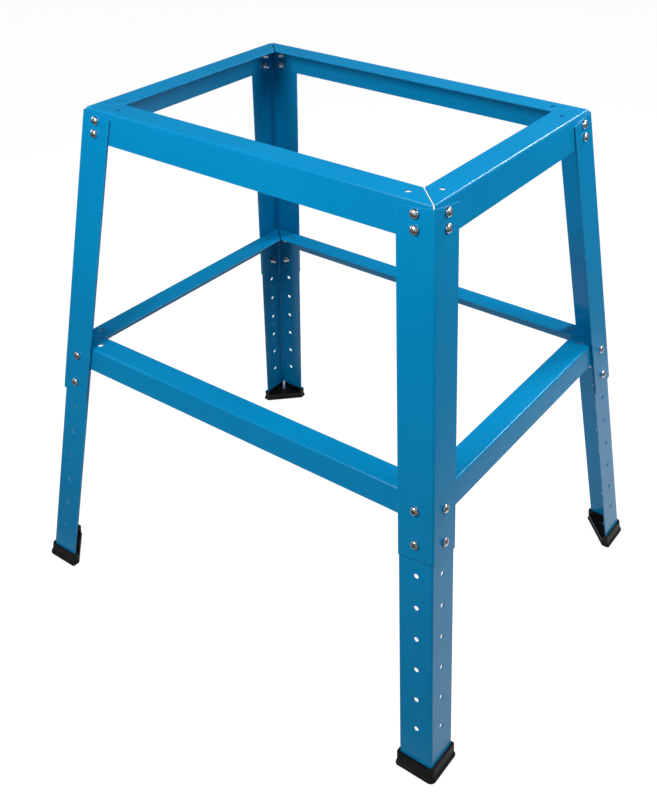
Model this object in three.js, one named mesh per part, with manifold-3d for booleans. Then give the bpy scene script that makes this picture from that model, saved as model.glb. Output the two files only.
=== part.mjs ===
// Bench grinder stand: a bolted frame of folded steel angles on four splayed legs.
// Each leg is an upper angle with a lower angle sliding inside it, pinned at a row of holes.
// Millimetres, +Z up. The origin is on the floor under the centre of the top frame, +X runs along
// the long side and -Y is the front. The legs are modelled fully drawn out.

import * as THREE from 'three';
import { mergeVertices } from 'three/addons/utils/BufferGeometryUtils.js';
import Module from 'manifold-3d';

// Overall sizes
const STAND_HEIGHT = 780; // floor to the top face of the rails
const TOP_LENGTH = 560; // outside of the top frame along X
const TOP_WIDTH = 396; // outside of the top frame along Y
const SPLAY_LENGTH = 0.131; // outward run of the legs along X for each unit of drop
const SPLAY_WIDTH = 0.144; // the same along Y

// Folded sheet, and the clearances between pieces
const SHEET = 2;
const BEND_INSIDE = 1.2; // inner radius of every fold
const SEAT_GAP = 0.3; // between neighbouring sheets, and under heads and nuts
const MITRE_TRIM = 1.4; // taken off each mitred end, measured along the rail

// Top rails
const RAIL_FLANGE = 36.5; // flat top the machine stands on
const RAIL_WEB = 45; // side hanging inside the legs
const MACHINE_HOLE = 8;
const MACHINE_HOLE_FROM_EDGE = 18;
const MACHINE_HOLE_FROM_CORNER = 46;

// Stretchers
const STRETCHER_DROP = 364; // top of the rails down to the top of the stretchers
const STRETCHER_FLANGE = 35.5;
const STRETCHER_WEB = 35;
const SHELF_HOLE = 8;
const SHELF_HOLE_FROM_EDGE = 16;
const SHELF_HOLE_FROM_CORNER = 48;

// Legs, with places along a leg measured from the level of the rails' top face
const UPPER_FLANGE = 52;
const UPPER_TOP_SETBACK = 4.2; // square-cut top below the level of the rails' top face
const UPPER_BOTTOM_MARGIN = 22; // below the lowest bolt
const BOLT_LINE = 26.5; // from the outer corner of the leg to the row of bolts
const RAIL_BOLT_PLACE = 11.5; // first of the two bolts into the rail
const RAIL_BOLT_SPACING = 18.5;
const HOLE_PITCH = 47.5;
const LOWER_TOP_MARGIN = 12; // above the first hole of a lower leg
const LOWEST_HOLE_MARGIN = 20; // least metal between the last hole's middle and the foot

// Hardware: M6 pan head screws and hexagon nuts
const BOLT_DIAMETER = 6;
const BOLT_CLEARANCE = 1; // added to the diameter by every bolt hole
const BOLT_LENGTH = 16;
const BOLT_TIP_CHAMFER = 0.6;
const HEAD_DIAMETER = 12;
const HEAD_HEIGHT = 4.6;
const HEAD_RIM = 1.4; // straight part of the head's side
const NUT_FLATS = 10;
const NUT_HEIGHT = 5;
const NUT_BORE_CLEARANCE = 0.6;

// Moulded feet
const FOOT_HEIGHT = 22;
const FOOT_SOLE = 4; // under the lowest point of the leg
const FOOT_WALL = 3.5; // outside the leg
const FOOT_INNER_WALL = 3; // inside the leg
const FOOT_BLOCK_HEIGHT = 14; // filled corner that carries the nut
const FOOT_LIP = 6; // return of the wall round each free edge of the leg
const FOOT_CORNER = 7; // outer corner radius
const FOOT_EDGE = 2; // radius at the ends of the walls
const FOOT_BEAD = 2; // stand-out of the bottom bead
const FOOT_BEAD_HEIGHT = 6.5;
const FOOT_BEAD_LAND = 0.5; // straight part of the bead's side
const FOOT_BOLT_INSET = 17; // from the two outer faces of the leg, at the top of the block
const FOOT_BOLT_LENGTH = 30;
const FOOT_RECESS_DEPTH = 1.1; // head of the screw above the floor
const FOOT_RECESS_CLEARANCE = 2; // added to the head's diameter

// Facets
const FOLD_STEPS = 2; // half the sides of each arc in an outline
const HOLE_SIDES = 10;
const SCREW_SIDES = 8;
const BEAD_STEPS = 2;
const PAST = 5; // how far a cutting tool reaches past what it cuts

const PAINT = new THREE.MeshStandardMaterial({ color: 0x0086c0, roughness: 0.35, metalness: 0.0 });
const ZINC = new THREE.MeshStandardMaterial({ color: 0xc3c7ca, roughness: 0.35, metalness: 1.0 });
const RUBBER = new THREE.MeshStandardMaterial({ color: 0x1a1a1a, roughness: 0.7, metalness: 0.0 });

const SIDES = ['front', 'right', 'back', 'left'];
const CORNERS = ['front_left', 'front_right', 'back_right', 'back_left'];
const UP = new THREE.Vector3(0, 0, 1);

const wasm = await Module();
wasm.setup();

// A closed solid of a geometry, for cutting and joining.
function solidOf(geometry) {
  const bare = geometry.clone();
  bare.deleteAttribute('normal');
  bare.deleteAttribute('uv');
  const merged = mergeVertices(bare, 1e-4);
  return new wasm.Manifold(
    new wasm.Mesh({
      numProp: 3,
      vertProperties: new Float32Array(merged.attributes.position.array),
      triVerts: new Uint32Array(merged.index.array),
    }),
  );
}

function geometryOf(solid) {
  const mesh = solid.getMesh();
  const geometry = new THREE.BufferGeometry();
  geometry.setAttribute('position', new THREE.BufferAttribute(mesh.vertProperties, 3));
  geometry.setIndex(new THREE.BufferAttribute(mesh.triVerts, 1));
  geometry.computeVertexNormals();
  return geometry;
}

// The turn number k counts corners and sides anticlockwise from the front left corner.
function turned(x, y, k) {
  return new THREE.Vector3(x, y, 0).applyAxisAngle(UP, (k * Math.PI) / 2).round();
}

// The stand seen from side k: the half sizes and splays along that side and across it.
function seenFrom(k) {
  const lengthwise = { half: TOP_LENGTH / 2, splay: SPLAY_LENGTH };
  const widthwise = { half: TOP_WIDTH / 2, splay: SPLAY_WIDTH };
  return k % 2 === 0
    ? { along: lengthwise, across: widthwise }
    : { along: widthwise, across: lengthwise };
}

// Half size at a drop below the rails' top face, outset square to the sloping side.
function halfAt(axis, drop, outset) {
  return axis.half + axis.splay * drop + outset * Math.hypot(1, axis.splay);
}

// Length along a leg for each unit of drop.
const LEG_PER_DROP = Math.hypot(1, SPLAY_LENGTH, SPLAY_WIDTH);

// Layers from the outside in: upper leg over the rail, and lower leg between upper leg and stretcher.
const UPPER_OUTSET = SEAT_GAP + SHEET;
const LOWER_OUTSET = UPPER_OUTSET - SHEET - SEAT_GAP;
const STRETCHER_OUTSET = LOWER_OUTSET - SHEET - SEAT_GAP;

const BOLT_HOLE = BOLT_DIAMETER + BOLT_CLEARANCE;

// The angle between a leg's flanges, slightly over square because the leg leans two ways.
function legFold() {
  const leanLength = SPLAY_LENGTH / LEG_PER_DROP;
  const leanWidth = SPLAY_WIDTH / LEG_PER_DROP;
  const spread = Math.sqrt((1 - leanLength ** 2) * (1 - leanWidth ** 2));
  return Math.acos((-leanLength * leanWidth) / spread);
}
const LEG_FOLD = legFold();

// The two flanges of a leg as directions and outward normals in the leg's frame.
const FLANGES = [
  { along: new THREE.Vector3(1, 0, 0), outward: new THREE.Vector3(0, -1, 0) },
  {
    along: new THREE.Vector3(Math.cos(LEG_FOLD), Math.sin(LEG_FOLD), 0),
    outward: new THREE.Vector3(-Math.sin(LEG_FOLD), Math.cos(LEG_FOLD), 0),
  },
];

// The move of a leg's outer corner line, square to the leg, when both its faces move out.
function cornerOutset(distance) {
  const diagonal = FLANGES[0].along.clone().add(FLANGES[1].along);
  return diagonal.multiplyScalar(-distance / Math.sin(LEG_FOLD));
}

// The frame of the leg at corner k, with its outer faces at an outset from the rails' sides:
// x along its first flange, z up the leg, origin square to the corner of the rails' top face.
function legFrame(k, outset) {
  const { along, across } = seenFrom(k);
  const first = turned(1, 0, k);
  const second = turned(0, 1, k);
  const up = UP.clone()
    .addScaledVector(first, along.splay)
    .addScaledVector(second, across.splay)
    .normalize();
  const x = first.clone().addScaledVector(up, -first.dot(up)).normalize();
  const y = up.clone().cross(x);
  const corner = new THREE.Vector3(0, 0, STAND_HEIGHT)
    .addScaledVector(first, -along.half)
    .addScaledVector(second, -across.half);
  const frame = new THREE.Matrix4().makeBasis(x, y, up).setPosition(corner);
  return frame.multiply(new THREE.Matrix4().setPosition(cornerOutset(outset)));
}

// How far the corner line moves along either flange when a leg's faces move in by a distance.
function cornerShift(distance) {
  return distance / Math.tan(LEG_FOLD / 2);
}

// Lean of a leg's flange: drop for each unit along it, square to the leg.
function flangeLean(splay) {
  const lean = splay / LEG_PER_DROP;
  return lean / LEG_PER_DROP / Math.sqrt(1 - lean ** 2);
}
const MEAN_LEAN = (flangeLean(SPLAY_LENGTH) + flangeLean(SPLAY_WIDTH)) / 2;
const STEEPEST_LEAN = Math.max(flangeLean(SPLAY_LENGTH), flangeLean(SPLAY_WIDTH));

// Places along a leg. The stretcher bolt meets the middle of the stretcher's web.
const LOWER_FLANGE = UPPER_FLANGE - SHEET;
const STRETCHER_MIDDLE = STRETCHER_DROP + STRETCHER_WEB / 2;
const STRETCHER_BOLT_PLACE = (STRETCHER_MIDDLE - BOLT_LINE * MEAN_LEAN) * LEG_PER_DROP;
const LEG_BOLT_PLACE = STRETCHER_BOLT_PLACE + HOLE_PITCH;
const UPPER_BOTTOM = LEG_BOLT_PLACE + UPPER_BOTTOM_MARGIN;
const LOWER_TOP = STRETCHER_BOLT_PLACE - LOWER_TOP_MARGIN;
const SOLE_LEVEL = STAND_HEIGHT - FOOT_SOLE - SEAT_GAP;
const LOWER_BOTTOM = (SOLE_LEVEL - LOWER_FLANGE * STEEPEST_LEAN) * LEG_PER_DROP;
const RAIL_BOLT_PLACES = [RAIL_BOLT_PLACE, RAIL_BOLT_PLACE + RAIL_BOLT_SPACING];

// The row of holes runs down the lower leg as far as its foot allows.
const LOWEST_HOLE_LIMIT = LOWER_BOTTOM - FOOT_HEIGHT * LEG_PER_DROP - LOWEST_HOLE_MARGIN;
const HOLE_ROW = Math.floor((LOWEST_HOLE_LIMIT - STRETCHER_BOLT_PLACE) / HOLE_PITCH) + 1;
const LOWER_HOLE_PLACES = Array.from({ length: HOLE_ROW }, (_, i) => {
  return STRETCHER_BOLT_PLACE + i * HOLE_PITCH;
});

// Outline of a folded angle: the first flange along +x, the second at the fold angle from it,
// outer faces on the lines through the origin.
function angleShape(firstWidth, secondWidth, fold, sheet, bendInside) {
  const bendOutside = bendInside + sheet;
  const centre = new THREE.Vector2(bendOutside / Math.tan(fold / 2), bendOutside);
  const second = new THREE.Vector2(Math.cos(fold), Math.sin(fold));
  const inward = new THREE.Vector2(Math.sin(fold), -Math.cos(fold));
  const secondEnd = second.clone().multiplyScalar(secondWidth);
  const secondInner = secondEnd.clone().addScaledVector(inward, sheet);
  const arcStart = -Math.PI / 2;
  const arcEnd = fold - (3 * Math.PI) / 2;
  const shape = new THREE.Shape();
  shape.moveTo(firstWidth, sheet);
  shape.lineTo(firstWidth, 0);
  shape.absarc(centre.x, centre.y, bendOutside, arcStart, arcEnd, true);
  shape.lineTo(secondEnd.x, secondEnd.y);
  shape.lineTo(secondInner.x, secondInner.y);
  shape.absarc(centre.x, centre.y, bendInside, arcEnd, arcStart, false);
  shape.closePath();
  return shape;
}

function extruded(shape, depth, curveSegments = FOLD_STEPS) {
  return new THREE.ExtrudeGeometry(shape, { depth, bevelEnabled: false, curveSegments });
}

// Cuts round holes: each has a point on its axis, a direction and a diameter.
function drilled(geometry, holes, reach) {
  let solid = solidOf(geometry);
  for (const { at, axis, diameter } of holes) {
    const tool = new THREE.CylinderGeometry(diameter / 2, diameter / 2, reach, HOLE_SIDES);
    tool.applyQuaternion(new THREE.Quaternion().setFromUnitVectors(new THREE.Vector3(0, 1, 0), axis));
    tool.translate(at.x, at.y, at.z);
    solid = solid.subtract(solidOf(tool));
  }
  return geometryOf(solid);
}

function placed(object, matrix) {
  matrix.decompose(object.position, object.quaternion, object.scale);
  return object;
}

function named(name, geometry, material) {
  const mesh = new THREE.Mesh(geometry, material);
  mesh.name = name;
  return mesh;
}

// A point on the row of bolts of a flange, at a place along the leg.
function boltPoint(flange, place, line) {
  return FLANGES[flange].along.clone().multiplyScalar(line).setZ(-place);
}

function legAngle(flangeWidth, top, bottom, places, line) {
  const shape = angleShape(flangeWidth, flangeWidth, LEG_FOLD, SHEET, BEND_INSIDE);
  const bar = extruded(shape, bottom - top).translate(0, 0, -bottom);
  const holes = places.flatMap((place) =>
    FLANGES.map(({ outward }, flange) => ({
      at: boltPoint(flange, place, line),
      axis: outward,
      diameter: BOLT_HOLE,
    })),
  );
  return drilled(bar, holes, 2 * (SHEET + PAST));
}

// A mitred angle along side k: a level flange on top and a web that follows the legs' slope.
// Local x runs inwards, y down, z towards corner k. The origin is on the outer top edge.
function sideFrame(k, drop, outset) {
  const { across } = seenFrom(k);
  const inward = turned(0, 1, k);
  const down = UP.clone().negate();
  const origin = new THREE.Vector3(0, 0, STAND_HEIGHT - drop);
  origin.addScaledVector(inward, -halfAt(across, drop, outset));
  return new THREE.Matrix4().makeBasis(inward, down, inward.clone().cross(down)).setPosition(origin);
}

function sideAngle(k, { drop, outset, flange, web, places, hole, fromEdge, fromCorner }) {
  const { along, across } = seenFrom(k);
  const half = halfAt(along, drop, outset);
  const frame = sideFrame(k, drop, outset);
  const shape = angleShape(flange, web, Math.PI / 2 + Math.atan(across.splay), SHEET, BEND_INSIDE);
  const bar = extruded(shape, 1);
  const points = bar.attributes.position;
  for (let i = 0; i < points.count; i += 1) {
    const skew = (along.splay - across.splay) * points.getY(i);
    const end = half - points.getX(i) + skew - MITRE_TRIM;
    points.setZ(i, points.getZ(i) > 0 ? end : -end);
  }
  const holes = [1, -1].map((end) => ({
    at: new THREE.Vector3(fromEdge, 0, end * (half - fromCorner)),
    axis: new THREE.Vector3(0, 1, 0),
    diameter: hole,
  }));
  const toSide = frame.clone().invert();
  for (const [corner, flangeIndex] of [[k, 0], [(k + 1) % 4, 1]]) {
    const toHere = toSide.clone().multiply(legFrame(corner, UPPER_OUTSET));
    for (const place of places) {
      holes.push({
        at: boltPoint(flangeIndex, place, BOLT_LINE).applyMatrix4(toHere),
        axis: FLANGES[flangeIndex].outward.clone().transformDirection(toHere),
        diameter: BOLT_HOLE,
      });
    }
  }
  return { geometry: drilled(bar, holes, 2 * (UPPER_OUTSET - outset + SHEET + PAST)), frame };
}

const RAIL = {
  drop: 0,
  outset: 0,
  flange: RAIL_FLANGE,
  web: RAIL_WEB,
  places: RAIL_BOLT_PLACES,
  hole: MACHINE_HOLE,
  fromEdge: MACHINE_HOLE_FROM_EDGE,
  fromCorner: MACHINE_HOLE_FROM_CORNER,
};

const STRETCHER = {
  drop: STRETCHER_DROP,
  outset: STRETCHER_OUTSET,
  flange: STRETCHER_FLANGE,
  web: STRETCHER_WEB,
  places: [STRETCHER_BOLT_PLACE],
  hole: SHELF_HOLE,
  fromEdge: SHELF_HOLE_FROM_EDGE,
  fromCorner: SHELF_HOLE_FROM_CORNER,
};

function sideGroup(prefix, sizes) {
  const group = new THREE.Group();
  SIDES.forEach((side, k) => {
    const { geometry, frame } = sideAngle(k, sizes);
    group.add(placed(named(`${prefix}_${side}`, geometry, PAINT), frame));
  });
  return group;
}

// A pan head screw standing along +z, its head's underside a seat gap above the origin.
function screw(length) {
  const radius = BOLT_DIAMETER / 2;
  const tip = SEAT_GAP - length;
  const rim = HEAD_DIAMETER / 2;
  const crown = HEAD_HEIGHT - HEAD_RIM;
  const outline = [
    [0, tip],
    [radius - BOLT_TIP_CHAMFER, tip],
    [radius, tip + BOLT_TIP_CHAMFER],
    [radius, SEAT_GAP],
    [rim, SEAT_GAP],
    [rim, SEAT_GAP + HEAD_RIM],
    [rim * Math.cos(Math.PI / 4), SEAT_GAP + HEAD_RIM + crown * Math.sin(Math.PI / 4)],
    [0, SEAT_GAP + HEAD_HEIGHT],
  ];
  const points = outline.map(([r, z]) => new THREE.Vector2(r, z));
  return new THREE.LatheGeometry(points, SCREW_SIDES).rotateX(Math.PI / 2);
}

const NUT_CIRCUMRADIUS = NUT_FLATS / Math.sqrt(3);
const FOOT_RECESS = FOOT_RECESS_DEPTH + HEAD_HEIGHT + SEAT_GAP;

// A screw with its nut run on, clamping sheets of a given total thickness.
function screwWithNut(stack) {
  const nut = new THREE.CylinderGeometry(NUT_CIRCUMRADIUS, NUT_CIRCUMRADIUS, NUT_HEIGHT, 6);
  nut.rotateX(Math.PI / 2).translate(0, 0, -stack - SEAT_GAP - NUT_HEIGHT / 2);
  return geometryOf(solidOf(screw(BOLT_LENGTH)).add(solidOf(nut)));
}

const TWO_SHEETS = UPPER_OUTSET + SHEET;
const THREE_SHEETS = UPPER_OUTSET - STRETCHER_OUTSET + SHEET;
const shortGrip = screwWithNut(TWO_SHEETS);
const longGrip = screwWithNut(THREE_SHEETS);

const LEG_BOLTS = [
  { prefix: 'rail_bolt_upper', place: RAIL_BOLT_PLACES[0], geometry: shortGrip },
  { prefix: 'rail_bolt_lower', place: RAIL_BOLT_PLACES[1], geometry: shortGrip },
  { prefix: 'stretcher_bolt', place: STRETCHER_BOLT_PLACE, geometry: longGrip },
  { prefix: 'leg_bolt', place: LEG_BOLT_PLACE, geometry: shortGrip },
];

// The bolts of one leg, two flanges wide, in the leg's frame.
function addLegBolts(group, k) {
  const facings = [SIDES[k], SIDES[(k + 3) % 4]];
  for (const { prefix, place, geometry } of LEG_BOLTS) {
    FLANGES.forEach(({ outward }, flange) => {
      const bolt = named(`${prefix}_${CORNERS[k]}_on_${facings[flange]}`, geometry, ZINC);
      bolt.position.copy(boltPoint(flange, place, BOLT_LINE));
      bolt.quaternion.setFromUnitVectors(UP, outward);
      group.add(bolt);
    });
  }
}

const LOWER_BOLT_LINE = BOLT_LINE - cornerShift(UPPER_OUTSET - LOWER_OUTSET);
const upperLeg = legAngle(
  UPPER_FLANGE,
  UPPER_TOP_SETBACK,
  UPPER_BOTTOM,
  [...RAIL_BOLT_PLACES, STRETCHER_BOLT_PLACE, LEG_BOLT_PLACE],
  BOLT_LINE,
);
const lowerLeg = legAngle(LOWER_FLANGE, LOWER_TOP, LOWER_BOTTOM, LOWER_HOLE_PLACES, LOWER_BOLT_LINE);

// The frame of a foot: level, x and y along the leg's flanges, origin under the leg's outer corner.
function footFrame(k) {
  const { along, across } = seenFrom(k);
  const first = turned(1, 0, k);
  const second = turned(0, 1, k);
  const origin = new THREE.Vector3()
    .addScaledVector(first, -halfAt(along, STAND_HEIGHT, LOWER_OUTSET))
    .addScaledVector(second, -halfAt(across, STAND_HEIGHT, LOWER_OUTSET));
  return new THREE.Matrix4().makeBasis(first, second, UP).setPosition(origin);
}

// Level outline of a foot: two walls outside the leg's flanges, joined across the open side.
function footShape(reachX, reachY) {
  const out = -(FOOT_WALL + SEAT_GAP);
  const farX = reachX + SEAT_GAP + FOOT_WALL;
  const farY = reachY + SEAT_GAP + FOOT_WALL;
  const shape = new THREE.Shape();
  shape.absarc(out + FOOT_CORNER, out + FOOT_CORNER, FOOT_CORNER, Math.PI, 1.5 * Math.PI, false);
  shape.absarc(farX - FOOT_EDGE, out + FOOT_EDGE, FOOT_EDGE, 1.5 * Math.PI, 2 * Math.PI, false);
  shape.lineTo(farX, FOOT_LIP);
  shape.lineTo(FOOT_LIP, farY);
  shape.absarc(out + FOOT_EDGE, farY - FOOT_EDGE, FOOT_EDGE, 0.5 * Math.PI, Math.PI, false);
  shape.closePath();
  return shape;
}

// The space a lower leg takes in its foot, in the leg's frame, with its clearance all round.
function legSlot() {
  const width = LOWER_FLANGE + SEAT_GAP + cornerShift(SEAT_GAP);
  const shape = angleShape(width, width, LEG_FOLD, SHEET + 2 * SEAT_GAP, BEND_INSIDE - SEAT_GAP);
  const depth = FOOT_HEIGHT * LEG_PER_DROP + PAST;
  const shift = cornerOutset(SEAT_GAP);
  return extruded(shape, depth).translate(shift.x, shift.y, -LOWER_BOTTOM - SEAT_GAP);
}

// Where the foot's screw stands, in the foot's frame.
function footBoltAxis(k) {
  const { along, across } = seenFrom(k);
  return new THREE.Vector2(
    FOOT_BOLT_INSET + along.splay * FOOT_BLOCK_HEIGHT,
    FOOT_BOLT_INSET + across.splay * FOOT_BLOCK_HEIGHT,
  );
}

function uprightCylinder(axis, diameter, bottom, top) {
  const cylinder = new THREE.CylinderGeometry(diameter / 2, diameter / 2, top - bottom, HOLE_SIDES);
  return cylinder.rotateX(Math.PI / 2).translate(axis.x, axis.y, (top + bottom) / 2);
}

function foot(k) {
  const { along, across } = seenFrom(k);
  const lean = new THREE.Matrix4().makeShear(0, 0, 0, 0, along.splay, across.splay);
  const reachX = LOWER_FLANGE / Math.cos(Math.asin(flangeLean(along.splay)));
  const reachY = LOWER_FLANGE / Math.cos(Math.asin(flangeLean(across.splay)));
  const shape = footShape(reachX, reachY);

  const body = extruded(shape, FOOT_HEIGHT).applyMatrix4(lean);
  const round = (FOOT_BEAD_HEIGHT - FOOT_BEAD_LAND) / 2;
  const bead = new THREE.ExtrudeGeometry(shape, {
    depth: FOOT_BEAD_LAND,
    bevelThickness: round,
    bevelSize: FOOT_BEAD,
    bevelSegments: BEAD_STEPS,
    curveSegments: FOLD_STEPS,
  });
  bead.translate(0, 0, round).applyMatrix4(lean);

  const shelf = SHEET + SEAT_GAP + FOOT_INNER_WALL;
  const pocketX = reachX + FOOT_WALL + PAST;
  const pocketY = reachY + FOOT_WALL + PAST;
  const pocket = new THREE.BoxGeometry(pocketX, pocketY, FOOT_HEIGHT);
  pocket.translate(shelf + pocketX / 2, shelf + pocketY / 2, FOOT_BLOCK_HEIGHT + FOOT_HEIGHT / 2);
  pocket.applyMatrix4(lean);

  const slot = legSlot().applyMatrix4(legFrame(k, LOWER_OUTSET));
  slot.applyMatrix4(footFrame(k).invert());

  const axis = footBoltAxis(k);
  const bore = uprightCylinder(axis, BOLT_HOLE, -PAST, FOOT_HEIGHT);
  const recess = uprightCylinder(axis, HEAD_DIAMETER + FOOT_RECESS_CLEARANCE, -PAST, FOOT_RECESS);

  let solid = solidOf(body).add(solidOf(bead));
  for (const tool of [pocket, slot, bore, recess]) {
    solid = solid.subtract(solidOf(tool));
  }
  return geometryOf(solid);
}

// Foot screw, head down in its recess, and the loose nut that holds it on the block.
function footHardware(k) {
  const axis = footBoltAxis(k);
  const bolt = named(`foot_bolt_${CORNERS[k]}`, screw(FOOT_BOLT_LENGTH), ZINC);
  bolt.position.set(axis.x, axis.y, FOOT_RECESS);
  bolt.rotation.x = Math.PI;

  const boreRadius = (BOLT_DIAMETER + NUT_BORE_CLEARANCE) / 2;
  const outline = Array.from({ length: 6 }, (_, i) => {
    return new THREE.Vector2(NUT_CIRCUMRADIUS, 0).rotateAround(new THREE.Vector2(), (i * Math.PI) / 3);
  });
  const ring = new THREE.Shape(outline);
  ring.holes.push(new THREE.Path().absarc(0, 0, boreRadius, 0, 2 * Math.PI, true));
  const nut = named(`foot_nut_${CORNERS[k]}`, extruded(ring, NUT_HEIGHT, HOLE_SIDES / 2), ZINC);
  nut.position.set(axis.x, axis.y, FOOT_BLOCK_HEIGHT + SEAT_GAP);
  return [bolt, nut];
}

function leg(k) {
  const fixed = placed(new THREE.Group(), legFrame(k, UPPER_OUTSET));
  fixed.add(named(`upper_leg_${CORNERS[k]}`, upperLeg, PAINT));
  addLegBolts(fixed, k);

  const sliding = new THREE.Group();
  sliding.add(placed(named(`lower_leg_${CORNERS[k]}`, lowerLeg, PAINT), legFrame(k, LOWER_OUTSET)));
  const shoe = placed(new THREE.Group(), footFrame(k));
  shoe.add(named(`foot_${CORNERS[k]}`, foot(k), RUBBER), ...footHardware(k));
  sliding.add(shoe);

  const group = new THREE.Group();
  group.add(fixed, sliding);
  return group;
}

const stand = new THREE.Group();
stand.name = 'bench_grinder_stand';
stand.add(sideGroup('top_rail', RAIL), sideGroup('stretcher', STRETCHER));
CORNERS.forEach((_, k) => stand.add(leg(k)));

export default stand;
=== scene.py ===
"""Finished look of a bolted bench grinder stand, built around its packed construction.

The stand is symmetric about its length and its width, so each pressed or moulded piece is modelled once,
on the front left leg or on the front or right side, and mirrored to its other places. Screws and nuts are
modelled once and copied by turning, so that every thread keeps its hand.
Metres, +Z up, origin on the floor under the middle of the top frame, -Y the front.
"""

import logging
import math
from collections.abc import Callable, Iterator, Sequence
from contextlib import contextmanager
from dataclasses import dataclass
from enum import Enum
from itertools import pairwise, product
from typing import Any

import bpy
from mathutils import Matrix, Quaternion, Vector


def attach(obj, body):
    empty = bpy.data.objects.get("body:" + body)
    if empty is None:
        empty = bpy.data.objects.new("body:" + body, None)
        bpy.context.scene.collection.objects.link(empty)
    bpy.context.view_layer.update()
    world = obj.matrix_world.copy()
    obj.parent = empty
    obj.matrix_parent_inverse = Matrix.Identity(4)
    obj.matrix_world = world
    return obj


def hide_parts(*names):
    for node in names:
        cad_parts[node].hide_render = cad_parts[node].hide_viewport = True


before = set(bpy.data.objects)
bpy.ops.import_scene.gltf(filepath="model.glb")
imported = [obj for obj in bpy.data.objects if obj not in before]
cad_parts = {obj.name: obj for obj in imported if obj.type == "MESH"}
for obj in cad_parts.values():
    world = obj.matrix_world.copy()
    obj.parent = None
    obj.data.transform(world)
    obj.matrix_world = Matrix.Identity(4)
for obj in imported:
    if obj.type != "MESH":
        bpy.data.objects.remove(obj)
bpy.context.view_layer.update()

LOG = logging.getLogger("stand")
FRAME_BODY = "frame"
EDGE_ATTRIBUTE = "soft_edge"
QUARTER_TURN = math.pi / 2
FULL_TURN = 2 * math.pi
UP = Vector((0.0, 0.0, 1.0))
TINY = 1e-6
FLATS_LEAD = 100
NOISE_MIDDLE = 0.5

Piece = bpy.types.Object
Pair = tuple[float, float]
Triple = tuple[float, float, float]
Colour = tuple[float, float, float, float]
Outline = Sequence[Pair]


class Corner(Enum):
    """Corners of the stand, each with the signs that mirror the front left corner to it."""

    FRONT_LEFT = (1, 1)
    FRONT_RIGHT = (-1, 1)
    BACK_RIGHT = (-1, -1)
    BACK_LEFT = (1, -1)

    @property
    def label(self) -> str:
        """Name of the corner as the nodes have it."""
        return self.name.lower()

    @property
    def mirror(self) -> Matrix:
        """Matrix that carries the front left corner to this one."""
        return Matrix.Diagonal((*self.value, 1, 1))

    def facing(self, flange: int) -> str:
        """Side of the stand that one of this corner's two leg flanges lies on.

        Args:
            flange: 0 for the flange along the length, 1 for the flange along the width.

        Returns:
            The side's name.
        """
        sign_x, sign_y = self.value
        if flange == 0:
            return "front" if sign_y > 0 else "back"
        return "left" if sign_x > 0 else "right"


class Side(Enum):
    """Sides that a rail is modelled on, each with the side it is mirrored to."""

    FRONT = "back"
    RIGHT = "left"

    @property
    def label(self) -> str:
        """Name of the side as the nodes have it."""
        return self.name.lower()

    @property
    def mirror(self) -> Matrix:
        """Matrix that carries this side to the opposite one."""
        return Matrix.Diagonal((1, -1, 1, 1) if self is Side.FRONT else (-1, 1, 1, 1))

    @property
    def along(self) -> int:
        """Axis that the side and its legs' flanges run along: 0 for the length, 1 for the width."""
        return 0 if self is Side.FRONT else 1


class Combining(Enum):
    """Ways of combining two bodies, as the boolean modifier names them."""

    CUT = "DIFFERENCE"
    JOIN = "UNION"
    KEEP_COMMON = "INTERSECT"


class Slot(Enum):
    """Material slots of the record."""

    PAINT = "blue_paint"
    ZINC = "zinc"
    RUBBER = "black_rubber"


@contextmanager
def editing(piece: Piece) -> Iterator[None]:
    """Opens one object in edit mode, in vertex selection, and closes it again.

    Args:
        piece: The object to edit.
    """
    choose(piece)
    bpy.ops.object.mode_set(mode="EDIT")
    bpy.ops.mesh.select_mode(type="VERT")
    yield
    bpy.ops.object.mode_set(mode="OBJECT")


def choose(*pieces: Piece) -> None:
    """Makes these objects the only selected ones.

    Args:
        pieces: The objects, of which the first becomes the active one.
    """
    bpy.ops.object.select_all(action="DESELECT")
    for piece in pieces:
        piece.select_set(True)
    bpy.context.view_layer.objects.active = pieces[0]


def pick(piece: Piece, test: Callable[[Vector], bool]) -> None:
    """Selects the vertices of an open mesh whose place passes a test.

    Args:
        piece: The object in edit mode.
        test: Takes a vertex's place and says whether it is selected.
    """
    bpy.ops.mesh.select_all(action="DESELECT")
    bpy.ops.object.mode_set(mode="OBJECT")
    for vertex in piece.data.vertices:
        vertex.select = test(vertex.co)
    bpy.ops.object.mode_set(mode="EDIT")


def taken(name: str) -> Piece:
    """Names the object that a primitive operator has just added and applies its place.

    Args:
        name: The object's new name.

    Returns:
        The object, at the origin and unturned.
    """
    piece = bpy.context.object
    piece.name = name
    piece.data.name = name
    choose(piece)
    bpy.ops.object.transform_apply(location=True, rotation=True, scale=True)
    return piece


def block(name: str, low: Sequence[float], high: Sequence[float]) -> Piece:
    """Adds a box between two corners.

    Args:
        name: Name of the object.
        low: Lowest corner.
        high: Highest corner.

    Returns:
        The box.
    """
    middle = (Vector(low) + Vector(high)) / 2
    bpy.ops.mesh.primitive_cube_add(size=1, location=middle, scale=Vector(high) - Vector(low))
    return taken(name)


def rod(name: str, diameter: float, base: Vector, tip: Vector, sides: int = 40) -> Piece:
    """Adds a round rod between two points.

    Args:
        name: Name of the object.
        diameter: Its diameter.
        base: Middle of one end.
        tip: Middle of the other end.
        sides: Number of sides.

    Returns:
        The rod.
    """
    axis = tip - base
    bpy.ops.mesh.primitive_cylinder_add(
        vertices=sides,
        radius=diameter / 2,
        depth=axis.length,
        location=(base + tip) / 2,
        rotation=axis.to_track_quat("Z", "Y").to_euler(),
    )
    return taken(name)


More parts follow.
